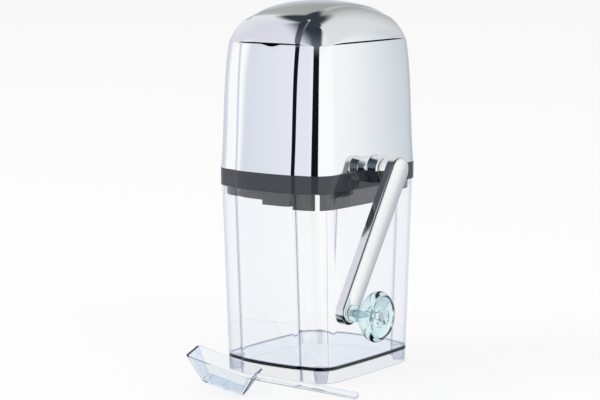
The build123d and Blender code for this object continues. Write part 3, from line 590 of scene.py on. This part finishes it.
# %% Skins from quarter plans
RIM_ROUND = 0.3
RIM_ANGLE = math.radians(60.0)
SHARP = math.radians(32.0)


def bridge_all(mesh, loops):
    """Faces between each loop and the next."""
    for lower, upper in zip(loops, loops[1:]):
        bmesh.ops.bridge_loops(mesh, edges=lower + upper)


def mirror_whole(mesh):
    """Mirror a quarter into the whole and weld its seams."""
    for axis in ("X", "Y"):
        bmesh.ops.mirror(mesh, geom=mesh.verts[:] + mesh.edges[:] + mesh.faces[:], matrix=Matrix(),
                         merge_dist=0.001, axis=axis)
    bmesh.ops.remove_doubles(mesh, verts=mesh.verts, dist=0.001)
    bmesh.ops.recalc_face_normals(mesh, faces=mesh.faces)


def keep_creases(mesh):
    """Hold the two creases beside the raised panel sharp under subdivision."""
    crease = mesh.edges.layers.float.new("crease_edge")
    for edge in mesh.edges:
        if all(abs(abs(vert.co.x) - PANEL_CREASE) < 0.01 for vert in edge.verts):
            edge[crease] = 1.0
            edge.smooth = False


def thicken(mesh, wall):
    """Give a skin its wall inwards, rims that stay level, and a mask for its inside."""
    inside = mesh.verts.layers.float.new("inside")
    drawn = set(mesh.verts)
    bmesh.ops.solidify(mesh, geom=mesh.faces[:], thickness=wall)
    for vert in mesh.verts:
        if vert not in drawn:   # the drawn skin stays outside, and its copy is the inner wall
            vert[inside] = 1.0
            for edge in vert.link_edges:
                if edge.other_vert(vert) in drawn:
                    vert.co.z = edge.other_vert(vert).co.z
    edges = [edge for edge in mesh.edges if edge.is_manifold and edge.calc_face_angle() > RIM_ANGLE]
    bmesh.ops.bevel(mesh, geom=edges, offset=RIM_ROUND, offset_type="OFFSET", segments=2, profile=0.5,
                    affect="EDGES", material=-1, clamp_overlap=True)
    return len(edges)


def finish_piece(mesh, name, body, material, replaced=(), levels=0):
    """Make a mesh in millimetres a finished object: shaded, placed, riding on its body."""
    bmesh.ops.scale(mesh, vec=(MM, MM, MM), verts=mesh.verts)
    for face in mesh.faces:
        face.smooth = True
    if not levels:
        for edge in mesh.edges:
            if edge.is_manifold and edge.calc_face_angle() > SHARP:
                edge.smooth = False
    open_edges = sum(not edge.is_manifold for edge in mesh.edges)
    data = bpy.data.meshes.new(name)
    mesh.to_mesh(data)
    mesh.free()
    data.materials.append(material)
    piece = bpy.data.objects.new(name, data)
    bpy.context.scene.collection.objects.link(piece)
    if levels:
        smoother = piece.modifiers.new("smooth quads", "SUBSURF")
        smoother.levels = smoother.render_levels = levels
    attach(piece, body)
    if replaced:
        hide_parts(*replaced)
    print(name, "faces", len(data.polygons), "open edges", open_edges)
    return piece


# %% [markdown]
# ## The chrome housing
#
# The housing is a drawn and plated shell that draws in a little towards the lid. Its shape
# is a stack of plans, bridged level by level. The sizes between the four driving levels
# follow one smooth cubic, so that no reflection breaks at a level. The panel is pushed out
# of the front and the back, the wall is given its thickness inwards, and the small dip for
# a thumb goes into the top edge under the lid.

# %% Model the housing shell
RING_TOP = 142.7                # the shaft's height: bottom of the housing
HOUSING_TOP = 229.6
HOUSING_LEVELS = ((RING_TOP, 47.6, 63.8), (188.0, 46.0, 61.6), (214.0, 44.9, 60.1),
                  (HOUSING_TOP, 43.5, 58.2))
HOUSING_HEIGHTS = (RING_TOP, 146.0, 164.0, 182.0, 200.0, 214.0, 224.0, HOUSING_TOP)
HOUSING_CORNERS = (15.2, 12.0)  # corner radius at the bottom and at the top
SHELL_WALL = 2.5
THUMB_X = 4.0
THUMB_HALF = 6.5
THUMB_DEPTH = 1.6


def housing_half(z, which):
    """Half size of the housing at a height, on one cubic through the driving levels."""
    total = 0.0
    for level in HOUSING_LEVELS:
        weight = math.prod((z - other[0]) / (level[0] - other[0])
                           for other in HOUSING_LEVELS if other is not level)
        total += weight * level[which]
    return total


shell = bmesh.new()
loops = []
for z in HOUSING_HEIGHTS:
    share = (z - RING_TOP) / (HOUSING_TOP - RING_TOP)
    corner_r = HOUSING_CORNERS[0] + share * (HOUSING_CORNERS[1] - HOUSING_CORNERS[0])
    loops.append(quarter_plan(shell, z, housing_half(z, 1), housing_half(z, 2), corner_r))
bridge_all(shell, loops)
for vert in shell.verts:
    vert.co.y -= panel_rise(vert.co.x)
mirror_whole(shell)
for vert in shell.verts:
    if abs(vert.co.z - HOUSING_TOP) < 0.01 and vert.co.y < 0.0 and abs(vert.co.x - THUMB_X) < THUMB_HALF:
        vert.co.z -= THUMB_DEPTH * (1.0 - ((vert.co.x - THUMB_X) / THUMB_HALF) ** 2)
keep_creases(shell)
print("rim edges rounded:", thicken(shell, SHELL_WALL))
finish_piece(shell, "housing_shell", "head", chrome, ("housing",), levels=2)

# %% [markdown]
# ## The crank boss, the hinge knuckles and the screw posts
#
# Three smaller forms are part of the same casting. The boss is half a turned ring that
# flares into the side wall, so its section is drawn once and spun over the top of the
# shaft. A hinge knuckle is a barrel with a root: its outline is drawn in section, joined to
# a circle for the pin's bore, and pulled out to its length. The posts are plain tubes.

# %% Model the boss, knuckles and posts
BOSS_SECTION = ((44.0, 7.55), (44.0, 11.0), (47.0, 11.0), (48.5, 9.5), (55.1, 9.5), (55.7, 8.9),
                (55.7, 7.55))
FLARE_R = 1.5
HINGE_Y = 62.7
HINGE_Z = 230.0
HINGE_R = 3.0
PIN_BORE_R = 1.51
BORE_STEPS = 24
ROOT_Y = 57.2
KNUCKLE_SPANS = ((-16.0, -6.0), (6.0, 16.0))
BOSS_STEPS = 32


def close_ends(mesh):
    """Fill every open end with a face, and point all faces outwards."""
    bmesh.ops.holes_fill(mesh, edges=[edge for edge in mesh.edges if edge.is_boundary], sides=0)
    bmesh.ops.recalc_face_normals(mesh, faces=mesh.faces)


boss = bmesh.new()
x, r = BOSS_SECTION[0]
pen = first = boss.verts.new((x, -r, RING_TOP))
for x, r in BOSS_SECTION[1:3]:
    pen = draw_to(boss, pen, (x, -r, RING_TOP))
pen = swing(boss, pen, (pen.co.x + FLARE_R, pen.co.y, RING_TOP), -math.pi / 2, 5)
for x, r in BOSS_SECTION[4:]:     # the swing has reached the fourth point
    pen = draw_to(boss, pen, (x, -r, RING_TOP))
boss.edges.new((pen, first))
bmesh.ops.spin(boss, geom=boss.verts[:] + boss.edges[:], cent=(0, 0, RING_TOP), axis=(1, 0, 0),
               angle=-math.pi, steps=BOSS_STEPS, use_merge=False, use_duplicate=False)
close_ends(boss)
finish_piece(boss, "crank_boss", "head", chrome)


def hinge_barrel(mesh, x_low, x_high, upside_down=False):
    """One knuckle: barrel and root in section, joined to the bore and pulled out along X."""
    section = bmesh.new()
    pen = first = section.verts.new((x_low, ROOT_Y, HINGE_Z - HINGE_R))
    pen = draw_to(section, pen, (x_low, HINGE_Y, HINGE_Z - HINGE_R))
    lip = HINGE_Z - HOUSING_TOP
    turn = math.radians(270.0) + math.asin(lip / HINGE_R)
    pen = swing(section, pen, (x_low, HINGE_Y, HINGE_Z), turn, BORE_STEPS, axis=(1, 0, 0))
    pen = draw_to(section, pen, (x_low, ROOT_Y, HOUSING_TOP))
    section.edges.new((pen, first))
    bmesh.ops.create_circle(section, segments=BORE_STEPS, radius=PIN_BORE_R,
                            matrix=Matrix.Translation((x_low, HINGE_Y, HINGE_Z))
                            @ Matrix.Rotation(math.pi / 2, 4, "Y"))
    bmesh.ops.bridge_loops(section, edges=section.edges[:])
    pulled = bmesh.ops.extrude_face_region(section, geom=section.faces[:], use_keep_orig=True)
    bmesh.ops.translate(section, vec=(x_high - x_low, 0, 0),
                        verts=[item for item in pulled["geom"] if isinstance(item, bmesh.types.BMVert)])
    if upside_down:
        bmesh.ops.scale(section, vec=(1, 1, -1), space=Matrix.Translation((0, 0, -HINGE_Z)),
                        verts=section.verts)
    bmesh.ops.recalc_face_normals(section, faces=section.faces)
    data = bpy.data.meshes.new("section")
    section.to_mesh(data)
    mesh.from_mesh(data)
    bpy.data.meshes.remove(data)
    section.free()


knuckles = bmesh.new()
for x_low, x_high in KNUCKLE_SPANS:
    hinge_barrel(knuckles, x_low, x_high)
finish_piece(knuckles, "housing_knuckles", "head", chrome)

# %% Model the screw posts
POST_PLACE = (35.7, 50.4)
POST_SECTION = ((1.65, RING_TOP), (4.0, RING_TOP), (4.0, 158.0), (3.4, 158.7), (1.65, 158.7))
posts = bmesh.new()
for side_x in (-1, 1):
    for side_y in (-1, 1):
        centre = (side_x * POST_PLACE[0], side_y * POST_PLACE[1], 0.0)
        before = set(posts.verts)
        pen = first = posts.verts.new((centre[0] + POST_SECTION[0][0], centre[1], POST_SECTION[0][1]))
        for r, z in POST_SECTION[1:]:
            pen = draw_to(posts, pen, (centre[0] + r, centre[1], z))
        posts.edges.new((pen, first))
        ring = [vert for vert in posts.verts if vert not in before]
        edges = list({edge for vert in ring for edge in vert.link_edges})
        bmesh.ops.spin(posts, geom=ring + edges, cent=centre, axis=(0, 0, 1), angle=math.tau, steps=24,
                       use_merge=True, use_duplicate=False)
bmesh.ops.remove_doubles(posts, verts=posts.verts, dist=0.001)
bmesh.ops.recalc_face_normals(posts, faces=posts.faces)
finish_piece(posts, "screw_posts", "head", chrome)

# %% [markdown]
# ## The chrome lid
#
# The lid is a dome over drafted walls, with a generous round between the two. It is drawn
# as a height over the plan: rings of the plan are set in further and further, and each
# point is lifted to whichever is right there, the wall, the round or the crown. Where wall
# and crown come closer than the round's radius, the point lies on a circle between them.
# The middle, where the corners have closed up, is a grid between the front and the back.

# %% Height of the lid's skin
LID_TOP = 255.59
LID_BOTTOM = 230.4
LID_HALF = (43.5, 58.2)
LID_CORNER = 12.0
CROWN_R_X = 123.0
CROWN_R_Y = 151.0
CROWN_EDGE_R = 13.0
LID_DRAFT = 0.2                 # how far the wall draws in for each millimetre up
LID_KNUCKLE_HALF = 5.75
LID_INSETS = (0.0, 0.4, 0.9, 1.6, 2.6, 4.0, 5.8, 7.8, 9.8, LID_CORNER)


def lid_height(x, y, inset, lift):
    """Height at a point of the plan that lies inset from the rim; lift raises the crown."""
    drop_y = math.sqrt(CROWN_R_Y ** 2 - y ** 2)
    across = CROWN_R_X - CROWN_R_Y + drop_y
    drop_x = math.sqrt(across ** 2 - x ** 2)
    crown = LID_TOP + lift - CROWN_R_X + drop_x
    steep = math.sqrt(1.0 + (x / drop_x) ** 2 + (across * y / (drop_y * drop_x)) ** 2)
    slant = math.sqrt(1.0 + LID_DRAFT ** 2)
    wall = LID_BOTTOM + inset / LID_DRAFT
    if inset - LID_DRAFT * (crown - LID_BOTTOM) >= CROWN_EDGE_R * slant:
        return crown
    if crown - wall >= CROWN_EDGE_R * steep:
        return wall
    from_wall = CROWN_EDGE_R - (inset + LID_DRAFT * LID_BOTTOM) / slant
    from_crown = CROWN_EDGE_R - crown / steep
    square = (LID_DRAFT / slant) ** 2 + 1.0 / steep ** 2
    half = from_wall * LID_DRAFT / slant + from_crown / steep
    rest = from_wall ** 2 + from_crown ** 2 - CROWN_EDGE_R ** 2
    return (math.sqrt(half ** 2 - square * rest) - half) / square


print("lid at its middle and its front rim:", round(lid_height(0, 0, LID_HALF[0], PANEL_PROUD), 1),
      round(lid_height(0, LID_HALF[1], 0, 0), 1))

# %% Model the lid shell
ACROSS_FALL = 1.4               # edges that fall less than this run across the front or the back

lid = bmesh.new()
loops = [quarter_plan(lid, inset, *LID_HALF, LID_CORNER, inset) for inset in LID_INSETS]
bridge_all(lid, loops)
mirror_whole(lid)
inner = [edge for edge in lid.edges if edge.is_boundary
         and all(abs(vert.co.z - LID_CORNER) < 0.01 for vert in edge.verts)]
front_and_back = [edge for edge in inner if abs(edge.verts[0].co.y - edge.verts[1].co.y) < ACROSS_FALL]
ringed = set(lid.verts)
bmesh.ops.grid_fill(lid, edges=front_and_back, use_interp_simple=True)
for vert in lid.verts:
    inset = vert.co.z
    if vert not in ringed:
        inset = max(LID_CORNER, how_deep(vert.co.x, vert.co.y, *LID_HALF))
    rise = panel_rise(vert.co.x)
    kept = max(0.0, 1.0 - inset / LID_CORNER)
    vert.co.y += math.copysign(rise * kept, vert.co.y)
    vert.co.z = lid_height(vert.co.x, vert.co.y, inset + rise * (1.0 - kept), rise)
bmesh.ops.recalc_face_normals(lid, faces=lid.faces)
keep_creases(lid)
print("rim edges rounded:", thicken(lid, SHELL_WALL))
finish_piece(lid, "lid_shell", "lid", chrome, ("lid",), levels=2)

lid_knuckle = bmesh.new()
hinge_barrel(lid_knuckle, -LID_KNUCKLE_HALF, LID_KNUCKLE_HALF, upside_down=True)
finish_piece(lid_knuckle, "lid_knuckle", "lid", chrome)

# %% [markdown]
# ## The clear bin
#
# The bin is one moulding: four walls on a floor, and below the floor a skirt with four
# short posts that it stands on. Its wall is a path that runs from the floor's underside
# down the skirt, round its lower edge, up the outside, over the rim and down inside to the
# floor. Each step of that path is a plan at its height and inset, and the floor's two faces
# close it. A number on every vertex, called tint, says where light gathers along an edge.

# %% Model the clear bin
BIN_TOP = 130.9
BIN_FOOT_HALF = (46.5, 56.5)
BIN_TOP_HALF = (46.9, 63.1)
FLOOR_TOP = 11.1
FLOOR_UNDERSIDE = 8.9
BIN_WALL = 2.0
SKIRT_WALL = 1.5
CREASE_TINT = 1.0
FOOT_TINT = 0.62
FLOOR_BAND = 2.2                # width of the dark band round the floor
WALL_PATH = (                   # (height, inset, tint)
    (FLOOR_UNDERSIDE, SKIRT_WALL, 0.8), (7.6, SKIRT_WALL, 0.0), (0.5, SKIRT_WALL, 0.0),
    (0.0, SKIRT_WALL, 0.8), (0.0, 0.0, 0.8), (0.8, 0.0, 0.0), (129.7, 0.0, 0.0), (BIN_TOP, 0.0, 0.9),
    (BIN_TOP, BIN_WALL, 0.9), (129.5, BIN_WALL, 0.0), (12.4, BIN_WALL, 0.0), (FLOOR_TOP, BIN_WALL, 1.0))
FOOT_PLACE = (36.5, 46.5)
FOOT_R = (4.0, 5.3)
FOOT_TOP = 8.85

bin_mesh = bmesh.new()
tint = bin_mesh.verts.layers.float.new("tint")
loops = []
for z, inset, depth in WALL_PATH:
    half = [foot + (top - foot) * z / BIN_TOP for foot, top in zip(BIN_FOOT_HALF, BIN_TOP_HALF)]
    loops.append(quarter_plan(bin_mesh, z, *half, PLAN_CORNER - inset, inset))
    for vert in {vert for edge in loops[-1] for vert in edge.verts}:
        at_crease = abs(vert.co.x - PANEL_CREASE) < 0.01 and inset < BIN_WALL
        vert[tint] = max(depth, CREASE_TINT) if at_crease else depth
        vert.co.y -= panel_rise(vert.co.x)
bridge_all(bin_mesh, loops)
mirror_whole(bin_mesh)
floors = bmesh.ops.holes_fill(bin_mesh, edges=[edge for edge in bin_mesh.edges if edge.is_boundary],
                              sides=0)["faces"]
for face in floors:
    bmesh.ops.inset_region(bin_mesh, faces=[face], thickness=FLOOR_BAND, use_even_offset=True)
    for vert in face.verts:
        vert[tint] = 0.0
for side_x in (-1, 1):
    for side_y in (-1, 1):
        middle = Matrix.Translation((side_x * FOOT_PLACE[0], side_y * FOOT_PLACE[1], FOOT_TOP / 2))
        foot = bmesh.ops.create_cone(bin_mesh, cap_ends=True, segments=24, radius1=FOOT_R[0],
                                     radius2=FOOT_R[1], depth=FOOT_TOP, matrix=middle)
        for vert in foot["verts"]:
            vert[tint] = FOOT_TINT
bmesh.ops.recalc_face_normals(bin_mesh, faces=bin_mesh.faces)
print("floor faces:", len(floors))
finish_piece(bin_mesh, "clear_bin_shell", "bin", clear_bin, ("ice_bin",))

# %% [markdown]
# ## Give every carried-over node its finish
#
# A construction node whose shape is right stays as it is and only gets a better material,
# through its material slot.

# %% Finishes of the construction nodes
FINISHES = {
    "chrome_shell": chrome, "satin_chrome": satin, "dark_frame": dark_plastic,
    "hopper_plastic": grey_plastic, "blade_steel": ground_steel, "steel": turned_steel,
    "nylon": nylon, "clear_bin": clear_bin, "clear_scoop": clear_scoop, "clear_knob": clear_knob,
}
for node_name, node in nodes.items():
    for slot in node.material_slots:
        key = slot.material.name.split(".")[0]
        slot.material = FINISHES[key]
print("finished nodes:", len(nodes))
